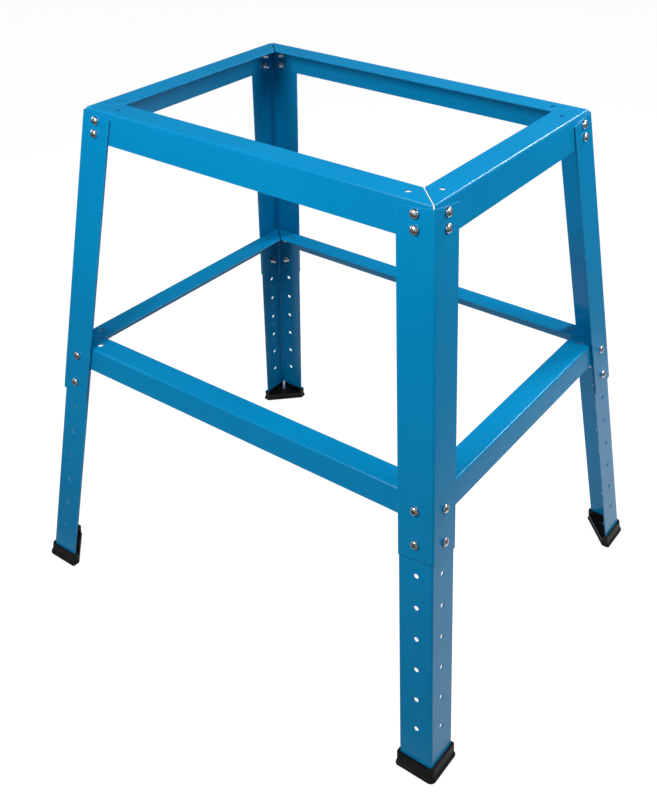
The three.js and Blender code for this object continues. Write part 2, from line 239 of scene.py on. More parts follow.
def chain(name: str, outline: Outline) -> Piece:
    """Draws a half profile in the XZ plane by extruding one vertex from point to point.

    Args:
        name: Name of the object.
        outline: Radius and height of each point.

    Returns:
        The chain of edges.
    """
    points = [Vector((radius, 0, height)) for radius, height in outline]
    bpy.ops.mesh.primitive_plane_add(size=1, location=points[0])
    piece = taken(name)
    with editing(piece):
        bpy.ops.mesh.select_all(action="SELECT")
        bpy.ops.mesh.merge(type="CENTER")
        for here, there in pairwise(points):
            bpy.ops.mesh.extrude_region_move(TRANSFORM_OT_translate={"value": there - here})
    return piece


def lathe(name: str, outline: Outline, steps: int = 48) -> Piece:
    """Spins a half profile round Z into a closed body.

    Args:
        name: Name of the object.
        outline: Radius and height of each point, starting and ending on the axis or closing on itself.
        steps: Steps in the turn.

    Returns:
        The turned body.
    """
    piece = chain(name, outline)
    with editing(piece):
        bpy.ops.mesh.select_all(action="SELECT")
        bpy.ops.mesh.spin(steps=steps, angle=FULL_TURN, center=(0, 0, 0), axis=(0, 0, 1))
        face_outwards()
    return piece


def face_outwards() -> None:
    """Merges doubles in the open mesh and turns its faces outwards."""
    bpy.ops.mesh.select_all(action="SELECT")
    bpy.ops.mesh.remove_doubles(threshold=TINY)
    bpy.ops.mesh.normals_make_consistent(inside=False)


def modify(piece: Piece, kind: str, **settings: Any) -> None:
    """Adds a modifier and applies it.

    Args:
        piece: The object.
        kind: The modifier's type.
        settings: The modifier's own values.
    """
    modifier = piece.modifiers.new(kind.lower(), kind)
    for key, value in settings.items():
        setattr(modifier, key, value)
    choose(piece)
    bpy.ops.object.modifier_apply(modifier=modifier.name)


def combine(piece: Piece, tool: Piece, way: Combining) -> None:
    """Cuts or joins a piece that stays with a tool, which is then removed."""
    modify(piece, "BOOLEAN", object=tool, operation=way.value, solver="EXACT")
    discard(tool)


def discard(*pieces: Piece) -> None:
    """Removes objects with their meshes."""
    for piece in pieces:
        bpy.data.meshes.remove(piece.data)


def joined(name: str, pieces: Sequence[Piece]) -> Piece:
    """Joins objects into one.

    Args:
        name: Name of the joined object.
        pieces: The objects, of which the first stays.

    Returns:
        The joined object.
    """
    choose(*pieces)
    bpy.ops.object.join()
    pieces[0].name = name
    pieces[0].data.name = name
    return pieces[0]


def trim(piece: Piece, point: Vector, outward: Vector) -> None:
    """Cuts a closed body along a plane, drops what lies outside and closes the cut.

    Args:
        piece: The body.
        point: A point on the plane.
        outward: Direction of the side that is dropped.
    """
    with editing(piece):
        bpy.ops.mesh.select_all(action="SELECT")
        bpy.ops.mesh.bisect(plane_co=point, plane_no=outward, use_fill=True, clear_outer=True)


def round_upright_edge(piece: Piece, place: Vector, radius: float, segments: int) -> None:
    """Rounds the upright edge that stands at a place in plan.

    Args:
        piece: The body.
        place: Any point on the edge's upright line.
        radius: Radius of the round.
        segments: Segments in the round.
    """
    with editing(piece):
        pick(piece, lambda at: (at.xy - place.xy).length < TINY)
        bpy.ops.mesh.bevel(offset=radius, offset_type="OFFSET", segments=segments, affect="EDGES")


def moved(piece: Piece, place: Matrix) -> Piece:
    """Moves a piece's mesh by a matrix, with its object left at the origin.

    Args:
        piece: The object.
        place: The matrix.

    Returns:
        The same object.
    """
    piece.data.transform(place)
    if place.determinant() < 0:
        with editing(piece):
            face_outwards()
    return piece


def copied(piece: Piece, name: str, place: Matrix) -> Piece:
    """Copies a piece with a mesh of its own.

    Args:
        piece: The object to copy.
        name: Name of the copy.
        place: Matrix that carries the original to the copy.

    Returns:
        The copy.
    """
    twin = piece.copy()
    twin.data = piece.data.copy()
    twin.name = name
    twin.data.name = name
    bpy.context.scene.collection.objects.link(twin)
    return moved(twin, place)


def shade(piece: Piece, angle: float) -> None:
    """Smooths a piece's shading up to an angle, with its flats kept flat.

    Args:
        piece: The object.
        angle: Sharpest fold that is still smoothed, in degrees.
    """
    choose(piece)
    bpy.ops.object.shade_smooth_by_angle(angle=math.radians(angle))
    modify(piece, "WEIGHTED_NORMAL", mode="FACE_AREA", weight=FLATS_LEAD, keep_sharp=True)


class Signal:
    """A node's output that takes part in Python arithmetic."""

    def __init__(self, graph: "Graph", socket: bpy.types.NodeSocket) -> None:
        """Keeps the output with the graph that it belongs to."""
        self.graph = graph
        self.socket = socket

    def math(self, operation: str, first: Any, second: Any) -> "Signal":
        """Result of a Math node on two values or signals."""
        return self.graph.signal("ShaderNodeMath", {"operation": operation}, {0: first, 1: second})

    def __add__(self, other: Any) -> "Signal":
        """Sum of this and another."""
        return self.math("ADD", self, other)

    __radd__ = __add__

    def __sub__(self, other: Any) -> "Signal":
        """This less another."""
        return self.math("SUBTRACT", self, other)

    def __rsub__(self, other: Any) -> "Signal":
        """Another less this."""
        return self.math("SUBTRACT", other, self)

    def __mul__(self, other: Any) -> "Signal":
        """Product of this and another."""
        return self.math("MULTIPLY", self, other)

    __rmul__ = __mul__

    def __abs__(self) -> "Signal":
        """This without its sign."""
        return self.math("ABSOLUTE", self, 0.0)


class Graph:
    """Node tree of a material or a world."""

    def __init__(self, tree: bpy.types.NodeTree) -> None:
        """Empties a node tree and keeps it."""
        self.tree = tree
        tree.nodes.clear()

    def node(
        self, kind: str, settings: dict[str, Any] | None = None, inputs: dict[Any, Any] | None = None
    ) -> bpy.types.Node:
        """Adds any node.

        Args:
            kind: The node's type.
            settings: The node's own properties, set first.
            inputs: Values or links of its sockets, by name or number.

        Returns:
            The node.
        """
        made = self.tree.nodes.new(kind)
        for key, value in (settings or {}).items():
            setattr(made, key, value)
        for key, value in (inputs or {}).items():
            if isinstance(value, Signal):
                self.tree.links.new(value.socket, made.inputs[key])
            else:
                made.inputs[key].default_value = value
        return made

    def signal(
        self,
        kind: str,
        settings: dict[str, Any] | None = None,
        inputs: dict[Any, Any] | None = None,
        output: Any = 0,
    ) -> Signal:
        """Adds any node and gives one of its outputs."""
        return Signal(self, self.node(kind, settings, inputs).outputs[output])

    def place(self) -> Signal:
        """Place of the shaded point on its object."""
        return self.signal("ShaderNodeTexCoord", output="Object")

    def noise(self, place: Signal, size: float, detail: float = 2.0) -> Signal:
        """Noise from 0 to 1 with grains of a given size in metres and some finer layers."""
        inputs = {"Vector": place, "Scale": 1 / size, "Detail": detail}
        return self.signal("ShaderNodeTexNoise", {"noise_dimensions": "3D"}, inputs)

    def ramp(self, value: Signal, low: float, high: float) -> Signal:
        """Signal that rises smoothly from 0 to 1 between two levels."""
        inputs = {"Value": value, "From Min": low, "From Max": high}
        return self.signal("ShaderNodeMapRange", {"interpolation_type": "SMOOTHSTEP"}, inputs)

    def mix(self, factor: Signal, first: Any, second: Any) -> Signal:
        """Colour between two colours or signals, the first at factor 0 and the second at 1."""
        settings = {"data_type": "RGBA", "blend_type": "MIX"}
        return self.signal("ShaderNodeMix", settings, {0: factor, 6: first, 7: second}, output=2)

    def bump(self, height: Signal, distance: float, strength: float) -> Signal:
        """Normal bent by a height, of which 1 measures the distance."""
        inputs = {"Height": height, "Distance": distance, "Strength": strength}
        return self.signal("ShaderNodeBump", None, inputs, output="Normal")

    def surface(self, shader: Signal) -> None:
        """Joins a shader to a material's output."""
        self.node("ShaderNodeOutputMaterial", None, {"Surface": shader})

    def principled(self, inputs: dict[str, Any]) -> None:
        """Ends a material in one Principled shader with these values or links of its sockets."""
        self.surface(self.signal("ShaderNodeBsdfPrincipled", None, inputs))


def new_graph(name: str) -> tuple[bpy.types.Material, Graph]:
    """Makes a material with an empty node tree.

    Args:
        name: The material's name.

    Returns:
        The material and its graph.
    """
    material = bpy.data.materials.new(name)
    material.use_nodes = True
    return material, Graph(material.node_tree)


@dataclass(frozen=True)
class BluePaint:
    """Smooth sprayed paint, paler on the rounded sheared edges: partly paint worn thin there and partly a
    painted highlight along them.
    """

    slot: Slot = Slot.PAINT
    smooth: float = 60.0
    body: Colour = (0.0, 0.276, 0.578, 1.0)
    deep: Colour = (0.0, 0.258, 0.55, 1.0)
    # Paler colour of the rounded edges: partly worn thin paint, partly a painted highlight.
    edge: Colour = (0.09, 0.42, 0.72, 1.0)
    cloud_size: float = 0.16
    cloud_levels: Pair = (0.3, 0.7)
    cloud_gloss: float = 0.08
    wear_size: float = 0.02
    wear_levels: Pair = (0.35, 0.65)
    wear_least: float = 0.25
    wear_more: float = 0.35
    peel_size: float = 0.0016
    peel_share: float = 0.8
    peel_gloss: float = 0.06
    peel_depth: float = 0.00004
    peel_strength: float = 0.15
    grain_size: float = 0.0004
    roughness: float = 0.24
    specular: float = 0.28

    def material(self) -> bpy.types.Material:
        """Builds the paint.

        Returns:
            The material.
        """
        material, graph = new_graph(self.slot.value)
        place = graph.place()
        cloud = graph.noise(place, self.cloud_size)
        peel = graph.noise(place, self.peel_size, detail=1.0)
        grain = graph.noise(place, self.grain_size, detail=1.0)
        # Noise sets how much of the paler edge colour the rounds take: partly edge wear and partly a
        # painted highlight.
        wear_and_highlight = graph.ramp(graph.noise(place, self.wear_size), *self.wear_levels)
        edge = graph.signal("ShaderNodeAttribute", {"attribute_name": EDGE_ATTRIBUTE}, output="Fac")
        coat = graph.mix(graph.ramp(cloud, *self.cloud_levels), self.deep, self.body)
        gloss = self.cloud_gloss * (cloud - NOISE_MIDDLE) + self.peel_gloss * (peel - NOISE_MIDDLE)
        height = self.peel_share * peel + (1.0 - self.peel_share) * grain
        graph.principled({
            "Base Color": graph.mix(edge * (self.wear_least + self.wear_more * wear_and_highlight), coat, self.edge),
            "Roughness": self.roughness + gloss,
            "Specular IOR Level": self.specular,
            "Normal": graph.bump(height, self.peel_depth, self.peel_strength),
        })
        return material


@dataclass(frozen=True)
class GrainedFinish:
    """A finish whose two tones change in soft clouds under a fine grain."""

    slot: Slot
    smooth: float
    tone: Colour
    cloud_tone: Colour
    cloud_size: float
    cloud_detail: float
    cloud_levels: Pair
    grain_size: float
    grain_depth: float
    grain_strength: float
    roughness: float
    metallic: float
    specular: float
    cloud_gloss: float = 0.2
    grain_gloss: float = 0.1

    def material(self) -> bpy.types.Material:
        """Builds the finish.

        Returns:
            The material.
        """
        material, graph = new_graph(self.slot.value)
        place = graph.place()
        cloud = graph.noise(place, self.cloud_size, self.cloud_detail)
        grain = graph.noise(place, self.grain_size)
        gloss = self.cloud_gloss * (cloud - NOISE_MIDDLE) + self.grain_gloss * (grain - NOISE_MIDDLE)
        graph.principled({
            "Base Color": graph.mix(graph.ramp(cloud, *self.cloud_levels), self.tone, self.cloud_tone),
            "Metallic": self.metallic,
            "Roughness": self.roughness + gloss,
            "Specular IOR Level": self.specular,
            "Normal": graph.bump(grain, self.grain_depth, self.grain_strength),
        })
        return material


@dataclass(frozen=True)
class ZincPlate(GrainedFinish):
    """Bright zinc plate with faint tarnish and fine turning marks."""

    slot: Slot = Slot.ZINC
    smooth: float = 35.0
    tone: Colour = (0.66, 0.67, 0.68, 1.0)
    cloud_tone: Colour = (0.42, 0.425, 0.425, 1.0)
    cloud_size: float = 0.005
    cloud_detail: float = 2.0
    cloud_levels: Pair = (0.4, 0.75)
    grain_size: float = 0.0005
    grain_depth: float = 0.00003
    grain_strength: float = 0.3
    roughness: float = 0.26
    metallic: float = 1.0
    specular: float = 0.5


@dataclass(frozen=True)
class MouldedRubber(GrainedFinish):
    """Black moulded rubber with a fine grain and a dusting of grey."""

    slot: Slot = Slot.RUBBER
    smooth: float = 50.0
    tone: Colour = (0.006, 0.006, 0.0065, 1.0)
    cloud_tone: Colour = (0.018, 0.018, 0.0185, 1.0)
    cloud_size: float = 0.012
    cloud_detail: float = 3.0
    cloud_levels: Pair = (0.45, 0.75)
    grain_size: float = 0.0007
    grain_depth: float = 0.00012
    grain_strength: float = 0.5
    roughness: float = 0.48
    metallic: float = 0.0
    specular: float = 0.12


class Paintbox:
    """The finishes, each made once, and the way a piece is given one."""

    def __init__(self) -> None:
        """Builds the three finishes and keeps the sharpest fold that each shades smooth, in degrees."""
        finishes = (BluePaint(), ZincPlate(), MouldedRubber())
        self.smooth = {finish.slot: finish.smooth for finish in finishes}
        self.materials = {finish.slot: finish.material() for finish in finishes}

    def set_copy(
        self, pattern: Piece, place: Matrix, slot: Slot, body: str, node: str, ending: str
    ) -> None:
        """Sets a finished copy of a modelled piece in the place of a node.

        Args:
            pattern: The modelled piece.
            place: Matrix that carries it to the copy.
            slot: The copy's finish.
            body: Body that the copy moves with.
            node: Node that it replaces.
            ending: What its name adds to the node's.
        """
        piece = copied(pattern, f"{node}_{ending}", place)
        shade(piece, self.smooth[slot])
        piece.data.materials.clear()
        piece.data.materials.append(self.materials[slot])
        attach(piece, body)
        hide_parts(node)
        LOG.info("%s: %d faces on %s", piece.name, len(piece.data.polygons), body)


@dataclass(frozen=True)
class Hole:
    """A round hole: a point on its axis, the axis and the diameter."""

    at: Vector
    axis: Vector
    diameter: float


@dataclass(frozen=True)
class SheetWork:
    """How every angle is folded from sheet, pierced and softened."""

    sheet: float = 0.002
    bend_inside: float = 0.0012
    bend_segments: int = 8
    edge_round: float = 0.0003
    edge_segments: int = 2
    edge_angle: float = math.radians(40)
    tool_reach: float = 0.012

    def angle(self, name: str, widths: Pair, fold: float, ends: Pair) -> Piece:
        """Folds a strip into an angle along Z, first flange on +X, outer faces through the Z axis.

        Args:
            name: Name of the object.
            widths: Widths of the two flanges from their outer corner.
            fold: Angle between the flanges.
            ends: Lowest and highest Z.

        Returns:
            The folded angle.
        """
        first, second = widths
        low, high = ends
        middle = (first / 2, 0, (low + high) / 2)
        bpy.ops.mesh.primitive_plane_add(size=1, location=middle, rotation=(QUARTER_TURN, 0, 0))
        bpy.context.object.scale = (first, high - low, 1)
        piece = taken(name)
        turn = Vector((math.cos(fold), math.sin(fold), 0))
        with editing(piece):
            pick(piece, lambda at: at.x < TINY)
            bpy.ops.mesh.extrude_region_move(TRANSFORM_OT_translate={"value": turn * second})
            pick(piece, lambda at: at.xy.length < TINY)
            bpy.ops.mesh.bevel(
                offset=(self.bend_inside + self.sheet) / math.tan(fold / 2),
                offset_type="OFFSET",
                segments=self.bend_segments,
                affect="EDGES",
            )
            face_outwards()
        # The sheet thickens against its normals, so these have to point out of the angle.
        first_flange = max(piece.data.polygons, key=lambda face: face.center.x)
        if first_flange.normal.y > 0:
            with editing(piece):
                bpy.ops.mesh.select_all(action="SELECT")
                bpy.ops.mesh.flip_normals()
        modify(piece, "SOLIDIFY", thickness=self.sheet, offset=-1, use_even_offset=True)
        return piece

    def pierce(self, piece: Piece, holes: Sequence[Hole]) -> None:
        """Cuts round holes.

        Args:
            piece: The folded angle.
            holes: The holes, in the piece's own frame.
        """
        drills = []
        for hole in holes:
            reach = hole.axis.normalized() * self.tool_reach
            drills.append(rod("drill", hole.diameter, hole.at - reach, hole.at + reach))
        combine(piece, joined("drills", drills), Combining.CUT)

    def soften(self, piece: Piece) -> None:
        """Rounds the sheared edges and marks the faces of the rounds for the paint.

        Args:
            piece: The pierced angle.
        """
        # The bevel gives its own faces the second of two empty material slots, which tells them apart.
        flats, rounds = range(2)
        mesh = piece.data
        for _ in (flats, rounds):
            mesh.materials.append(None)
        modify(
            piece,
            "BEVEL",
            width=self.edge_round,
            segments=self.edge_segments,
            limit_method="ANGLE",
            angle_limit=self.edge_angle,
            material=rounds,
        )
        # The marked rounds take the paint's paler edge colour, partly worn paint and partly a painted
        # highlight.
        marks = [float(face.material_index == rounds) for face in mesh.polygons]
        attribute = mesh.attributes.new(EDGE_ATTRIBUTE, "FLOAT", "FACE")
        attribute.data.foreach_set("value", marks)
        mesh.polygons.foreach_set("material_index", [flats] * len(marks))


@dataclass(frozen=True)
class Stand:
    """Overall sizes, the lean of the legs and the front left leg's frame."""

    work: SheetWork
    height: float = 0.780
    length: float = 0.560
    width: float = 0.396
    splay: Pair = (0.131, 0.144)
    seat_gap: float = 0.0003
    bolt_line: float = 0.0265
    bolt_hole: float = 0.007
    rail_bolts: Pair = (0.0115, 0.030)
    stretcher_drop: float = 0.364
    stretcher_web: float = 0.035
    hole_pitch: float = 0.0475
    hole_row: int = 8
    leg_flange: float = 0.052

    @property
    def layer(self) -> float:
        """Thickness of one sheet with the gap to its neighbour."""
        return self.work.sheet + self.seat_gap

    @property
    def per_drop(self) -> float:
        """Length along a leg for each unit of drop."""
        return math.hypot(1, *self.splay)

    @property
    def leans(self) -> list[float]:
        """Run along the length and along the width for each unit along a leg."""
        return [splay / self.per_drop for splay in self.splay]

    @property
    def fold(self) -> float:
        """Angle between a leg's flanges."""
        lean_x, lean_y = self.leans
        return math.acos(-lean_x * lean_y / math.sqrt((1 - lean_x**2) * (1 - lean_y**2)))

    @property
    def flange_leans(self) -> list[float]:
        """Drop of each of a leg's two flanges for each unit along it."""
        return [lean / self.per_drop / math.sqrt(1 - lean**2) for lean in self.leans]

    @property
    def stretcher_bolt(self) -> float:
        """Place along a leg of the screw through the stretcher."""
        lean = sum(self.flange_leans) / 2
        return (self.stretcher_drop + self.stretcher_web / 2 - self.bolt_line * lean) * self.per_drop

    def half(self, axis: int, drop: float, outset: float) -> float:
        """Half length (axis 0) or width (axis 1) at a drop below the top, set out square to the side."""
        splay = self.splay[axis]
        return (self.length, self.width)[axis] / 2 + splay * drop + outset * math.hypot(1, splay)

    def flange(self, index: int) -> tuple[Vector, Vector]:
        """Directions of a leg's flange in the leg's frame.

        Args:
            index: 0 for the flange along the length, 1 for the flange along the width.

        Returns:
            The direction along the flange and its outward normal.
        """
        if index == 0:
            return Vector((1, 0, 0)), Vector((0, -1, 0))
        cosine, sine = math.cos(self.fold), math.sin(self.fold)
        return Vector((cosine, sine, 0)), Vector((-sine, cosine, 0))

    def leg_frame(self, outset: float) -> Matrix:
        """Frame of the front left leg with its faces at an outset from the rails' sides.

        Args:
            outset: Distance outwards from the rails' outer faces.

        Returns:
            Matrix with X along the first flange and Z up the leg.
        """
        up = Vector((*self.splay, 1)).normalized()
        along = Vector((1, 0, 0))
        along = (along - up * along.dot(up)).normalized()
        across = up.cross(along)
        corner = Vector((-self.length / 2, -self.width / 2, self.height))
        turn = Matrix((along, across, up)).transposed().to_4x4()
        # Both outer faces move out by the outset, so their corner moves back along both flanges.
        diagonal = self.flange(0)[0] + self.flange(1)[0]
        shift = diagonal * (-outset / math.sin(self.fold))
        return Matrix.Translation(corner) @ turn @ Matrix.Translation(shift)

    def bolt(self, flange: int, place: float) -> tuple[Vector, Vector]:
        """A screw's seat on the front left upper leg.

        Args:
            flange: 0 for the flange along the length, 1 for the flange along the width.
            place: Place along the leg.

        Returns:
            The seat's middle and its outward direction, in the stand's frame.
        """
        along, outward = self.flange(flange)
        leg = self.leg_frame(self.layer)
        return leg @ (along * self.bolt_line - UP * place), leg.to_3x3() @ outward


@dataclass(frozen=True)
class SideAngles:
    """Four mitred angles round the stand: the top rails or the stretchers."""

    stand: Stand
    prefix: str
    drop: float
    outset: float
    flange: float
    web: float
    bolts: tuple[float, ...]
    hole_from_edge: float
    hole_from_corner: float
    hole: float = 0.008
    mitre_trim: float = 0.0014
    spare: float = 0.05

    def side_frame(self, side: Side) -> Matrix:
        """Frame of one side, with its origin on the middle of the outer top edge.

        Args:
            side: The side.

        Returns:
            Matrix with X inwards, Y down and Z along the side.
        """
        inward = Vector((0, 1, 0)) if side is Side.FRONT else Vector((-1, 0, 0))
        down = -UP
        turn = Matrix((inward, down, inward.cross(down))).transposed().to_4x4()
        origin = inward * -self.stand.half(1 - side.along, self.drop, self.outset)
        origin.z = self.stand.height - self.drop
        return Matrix.Translation(origin) @ turn

    def holes(self, side: Side, half: float) -> list[Hole]:
        """Holes of one side in its own frame.

        Args:
            side: The side.
            half: Half length of the outer top edge.

        Returns:
            The holes for the machine or shelf and for the leg screws.
        """
        holes = []
        for end in (1, -1):
            at = Vector((self.hole_from_edge, 0, end * (half - self.hole_from_corner)))
            holes.append(Hole(at, Vector((0, 1, 0)), self.hole))
        to_side = self.side_frame(side).inverted()
        for corner, place in product(Corner, self.bolts):
            if corner.facing(side.along) == side.label:
                point, outward = self.stand.bolt(side.along, place)
                to_here = to_side @ corner.mirror
                holes.append(Hole(to_here @ point, to_here.to_3x3() @ outward, self.stand.bolt_hole))
        return holes

    def build(self, paintbox: Paintbox) -> None:
        """Models the front and right angles, mirrors them and paints all four.

        Args:
            paintbox: The finishes.
        """
        stand = self.stand
        for side in Side:
            splay_along, splay_across = stand.splay[side.along], stand.splay[1 - side.along]
            half = stand.half(side.along, self.drop, self.outset)
            reach = half + self.spare
            fold = QUARTER_TURN + math.atan(splay_across)
            sheet = f"{self.prefix}_sheet"
            piece = stand.work.angle(sheet, (self.flange, self.web), fold, (-reach, reach))
            for end in (1, -1):
                mitre = Vector((1, splay_across - splay_along, end))
                trim(piece, Vector((0, 0, end * (half - self.mitre_trim))), mitre)
            stand.work.pierce(piece, self.holes(side, half))
            stand.work.soften(piece)
            moved(piece, self.side_frame(side))
            for label, mirror in ((side.label, Matrix()), (side.value, side.mirror)):
                node = f"{self.prefix}_{label}"
                paintbox.set_copy(piece, mirror, Slot.PAINT, FRAME_BODY, node, "painted")
            discard(piece)


@dataclass(frozen=True)
class Legs:
    """Upper and lower angles of the four telescoping legs."""

    stand: Stand
    top_setback: float = 0.0042
    upper_margin: float = 0.022
    lower_margin: float = 0.012
    foot_sole: float = 0.004

    @property
    def lower_flange(self) -> float:
        """Width of a lower leg's flange."""
        return self.stand.leg_flange - self.stand.work.sheet

    @property
    def lower_bottom(self) -> float:
        """Place along the leg where the lower leg ends."""
        level = self.stand.height - self.foot_sole - self.stand.seat_gap
        return (level - self.lower_flange * max(self.stand.flange_leans)) * self.stand.per_drop

    def angle(self, name: str, width: float, ends: Pair, places: Sequence[float], line: float) -> Piece:
        """Models one leg angle in the leg's frame.

        Args:
            name: Name of the object.
            width: Width of both flanges.
            ends: Places along the leg of its top and bottom.
            places: Places along the leg of its holes.
            line: Distance of the row of holes from the outer corner.

        Returns:
            The angle.
        """
        stand = self.stand
        top, bottom = ends
        piece = stand.work.angle(name, (width, width), stand.fold, (-bottom, -top))
        holes = []
        for flange, place in product((0, 1), places):
            along, outward = stand.flange(flange)
            holes.append(Hole(along * line - UP * place, outward, stand.bolt_hole))
        stand.work.pierce(piece, holes)
        stand.work.soften(piece)
        return piece

    def build(self, paintbox: Paintbox) -> None:
        """Models one leg and sets a painted copy at each corner.

        Args:
            paintbox: The finishes.
        """
        stand = self.stand
        pinned = stand.stretcher_bolt
        last_pin = pinned + stand.hole_pitch
        upper = self.angle(
            "upper_leg_sheet",
            stand.leg_flange,
            (self.top_setback, last_pin + self.upper_margin),
            (*stand.rail_bolts, pinned, last_pin),
            stand.bolt_line,
        )
        lower = self.angle(
            "lower_leg_sheet",
            self.lower_flange,
            (pinned - self.lower_margin, self.lower_bottom),
            [pinned + step * stand.hole_pitch for step in range(stand.hole_row)],
            stand.bolt_line - stand.layer / math.tan(stand.fold / 2),
        )
        for prefix, piece, outset in (("upper_leg", upper, stand.layer), ("lower_leg", lower, 0.0)):
            moved(piece, stand.leg_frame(outset))
            for corner in Corner:
                node = f"{prefix}_{corner.label}"
                body = FRAME_BODY if piece is upper else node
                paintbox.set_copy(piece, corner.mirror, Slot.PAINT, body, node, "painted")
            discard(piece)


@dataclass(frozen=True)
class Hardware:
    """Pan head screws with a cross recess, and hexagon nuts."""

    thread: float = 0.006
    pitch: float = 0.001
    thread_depth: float = 0.00055
    thread_bite: float = 1.05
    thread_steps: int = 20
    core_steps: int = 32
    tip_turns: float = 1.5
    head: float = 0.012
    head_height: float = 0.0046
    head_rim: float = 0.0014
    head_steps: int = 7
    head_edge: float = 0.00025
    recess_length: float = 0.0074
    recess_width: float = 0.0019
    recess_depth: float = 0.0031
    recess_taper: Triple = (0.35, 0.6, 1.0)
    nut_flats: float = 0.010
    nut_height: float = 0.005
    nut_chamfer: float = 0.0008
    frame_length: float = 0.016
    foot_length: float = 0.030
    plain_neck: float = 0.001

    def screw(self, name: str, length: float, gap: float) -> Piece:
        """Models a screw along +Z, its head's underside a seat gap above the origin.

        Args:
            name: Name of the object.
            length: Length under the head.
            gap: Gap under the head.

        Returns:
            The screw.
        """
        rim = self.head / 2
        crown = self.head_height - self.head_rim
        top = gap + self.head_rim
        outline = [(0.0, gap), (rim - self.head_edge, gap), (rim, gap + self.head_edge)]
        for step in range(self.head_steps + 1):
            turn = QUARTER_TURN * step / self.head_steps
            outline.append((rim * math.cos(turn), top + crown * math.sin(turn)))
        outline[-1] = (0.0, gap + self.head_height)
        head = lathe(f"{name}_head", outline)
        combine(head, self.cross(gap + self.head_height), Combining.CUT)
        return joined(name, [head, self.shank(gap, length), self.helix(gap, length)])

    def cross(self, top: float) -> Piece:
        """Models the tool that cuts a cross recess into a head.

        Args:
            top: Height of the head's top.

        Returns:
            The tool.
        """
        reach = Vector((self.recess_length / 2, self.recess_width / 2, 0))
        bars = []
        for turn in (0.0, QUARTER_TURN):
            bar = block("recess", -reach - UP * self.recess_depth, reach + UP * self.recess_depth)
            with editing(bar):
                pick(bar, lambda at: at.z < 0)
                bpy.ops.transform.resize(value=self.recess_taper)
            bars.append(moved(bar, Matrix.Translation(UP * top) @ Matrix.Rotation(turn, 4, "Z")))
        combine(*bars, Combining.JOIN)
        return bars[0]

    def shank(self, gap: float, length: float) -> Piece:
        """Models the plain core of a screw with its chamfered tip.

        Args:
            gap: Gap under the head.
            length: Length under the head.

        Returns:
            The core.
        """
        tip = gap - length
        outer = self.thread / 2
        root = outer - self.thread_depth
        outline = [
            (0.0, tip),
            (root - self.thread_depth / 2, tip),
            (root + self.thread_depth / 2, tip + self.thread_depth),
            (root, tip + self.pitch * self.tip_turns),
            (root, gap - self.plain_neck),
            (outer, gap - self.plain_neck),
            (outer, gap + self.head_rim / 2),
            (0.0, gap + self.head_rim / 2),
        ]
        return lathe("core", outline, self.core_steps)

    def helix(self, gap: float, length: float) -> Piece:
        """Winds the thread of a screw.

        Args:
            gap: Gap under the head.
            length: Length under the head.

        Returns:
            The thread, closed at both ends.
        """
        outer = self.thread / 2
        # The thread's foot bites into the core, so that no gap shows between them.
        root = outer - self.thread_depth * self.thread_bite
        start = gap - length + self.thread_depth
        crest = start + self.pitch / 2
        flat = self.pitch / 8
        flanks = [(root, start), (outer, crest - flat), (outer, crest + flat), (root, start + self.pitch)]
        piece = chain("thread", flanks)
        modify(
            piece,
            "SCREW",
            axis="Z",
            angle=FULL_TURN,
            screw_offset=self.pitch,
            iterations=int((length - self.plain_neck - self.thread_depth) / self.pitch),
            steps=self.thread_steps,
            render_steps=self.thread_steps,
            use_merge_vertices=True,
            merge_threshold=TINY,
        )
        with editing(piece):
            face_outwards()
            bpy.ops.mesh.fill_holes(sides=0)
            face_outwards()
        return piece

    def nut(self, name: str) -> Piece:
        """Models a chamfered hexagon nut standing on the origin along +Z.

        Args:
            name: Name of the object.

        Returns:
            The nut.
        """
        corner = self.nut_flats / math.sqrt(3)
        face = self.nut_flats / 2 - self.nut_chamfer / 4
        piece = rod(name, corner * 2, Vector(), UP * self.nut_height, sides=6)
        barrel = [(0.0, 0.0), (face, 0.0), (corner + self.nut_chamfer / 4, self.nut_chamfer)]
        barrel += [(radius, self.nut_height - height) for radius, height in reversed(barrel)]
        combine(piece, lathe("barrel", barrel), Combining.KEEP_COMMON)
        bore = self.thread / 2 - self.thread_depth / 2
        mouth = self.thread / 2 + self.nut_chamfer / 2
        past = self.nut_height / 4
        tool = [(0.0, -past), (mouth, -past), (mouth, 0.0), (bore, mouth - bore)]
        tool += [(radius, self.nut_height - height) for radius, height in reversed(tool)]
        combine(piece, lathe("bore", tool, self.core_steps), Combining.CUT)
        return piece


